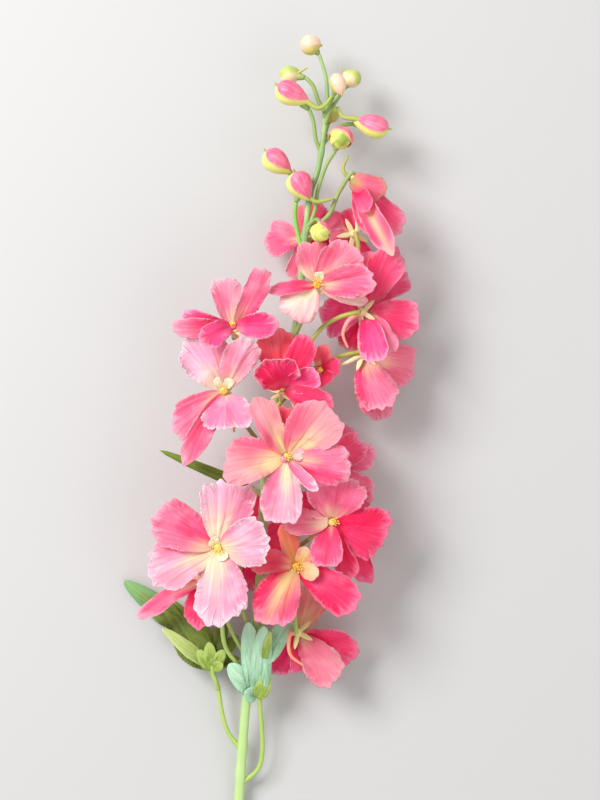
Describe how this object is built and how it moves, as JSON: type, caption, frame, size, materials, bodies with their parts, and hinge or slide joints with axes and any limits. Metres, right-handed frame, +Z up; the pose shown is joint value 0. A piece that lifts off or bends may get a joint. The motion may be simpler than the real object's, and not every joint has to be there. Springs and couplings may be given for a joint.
{
  "type": "delphinium flower spray",
  "caption": "Cut spray of cloth delphinium blooms, buds and lobed leaves on one slender stem, lying on its side on a table.",
  "frame": {"origin": "on the table, under the middle of the spray's outline", "axes": "+Z up from the table, +Y along the spray towards its tip, +X to its right as seen from above"},
  "size_m": [0.15, 0.4589, 0.0628],
  "materials": {
    "stem_green": "moulded plastic, satin, lime below and grey-green above",
    "cloth_pale": "dyed polyester cloth, pale pink with lilac-white rims and a cream base",
    "cloth_rose": "dyed polyester cloth, rose pink with a pale rim and a cream base",
    "cloth_hot": "dyed polyester cloth, hot pink with a pale rim and a cream base",
    "cloth_coral": "dyed polyester cloth, coral pink with a yellow base",
    "stamen_gold": "matte yellow",
    "bud_peach": "moulded, satin, peach shading to lime",
    "bud_lime": "moulded, satin, pale lime green",
    "bud_pink": "moulded, satin, pink with a lime underside",
    "leaf_olive": "dyed polyester cloth, olive green with pressed veins",
    "leaf_lime": "dyed polyester cloth, lime green with pressed veins",
    "leaf_sage": "dyed polyester cloth, pale bluish green with lime patches"
  },
  "bodies": {
    "root": {"stem": "stem_green", "bloom_a_petals": "cloth_rose", "bloom_b_petals": "cloth_pale", "bloom_c_petals": "cloth_hot", "bloom_d_petals": "cloth_rose", "bloom_e_petals": "cloth_rose", "bloom_f_petals": "cloth_rose", "bloom_g_petals": "cloth_pale", "bloom_h_petals": "cloth_hot", "bloom_i_petals": "cloth_coral", "bloom_j_petals": "cloth_coral", "bloom_k_petals": "cloth_rose", "bloom_l_petals": "cloth_pale", "bloom_m_petals": "cloth_coral", "bloom_n_petals": "cloth_hot", "bloom_o_petals": "cloth_hot", "bloom_p_petals": "cloth_rose", "bloom_q_petals": "cloth_rose", "bloom_s_petals": "cloth_hot", "bloom_a_stamens": "stamen_gold", "bloom_b_stamens": "stamen_gold", "bloom_c_stamens": "stamen_gold", "bloom_d_stamens": "stamen_gold", "bloom_e_stamens": "stamen_gold", "bloom_f_stamens": "stamen_gold", "bloom_g_stamens": "stamen_gold", "bloom_h_stamens": "stamen_gold", "bloom_i_stamens": "stamen_gold", "bloom_j_stamens": "stamen_gold", "bloom_k_stamens": "stamen_gold", "bloom_l_stamens": "stamen_gold", "bloom_m_stamens": "stamen_gold", "bloom_n_stamens": "stamen_gold", "bloom_o_stamens": "stamen_gold", "bloom_p_stamens": "stamen_gold", "bloom_q_stamens": "stamen_gold", "bloom_s_stamens": "stamen_gold", "bud_1": "bud_peach", "bud_2": "bud_lime", "bud_3": "bud_pink", "bud_4": "bud_lime", "bud_5": "bud_peach", "bud_6": "bud_lime", "bud_7": "bud_pink", "bud_8": "bud_lime", "bud_9": "bud_pink", "bud_10": "bud_pink", "bud_11": "bud_lime", "leaf_left": "leaf_olive", "leaf_small": "leaf_lime", "leaf_sage": "leaf_sage", "leaf_blade": "leaf_olive"}
  },
  "joints": []
}
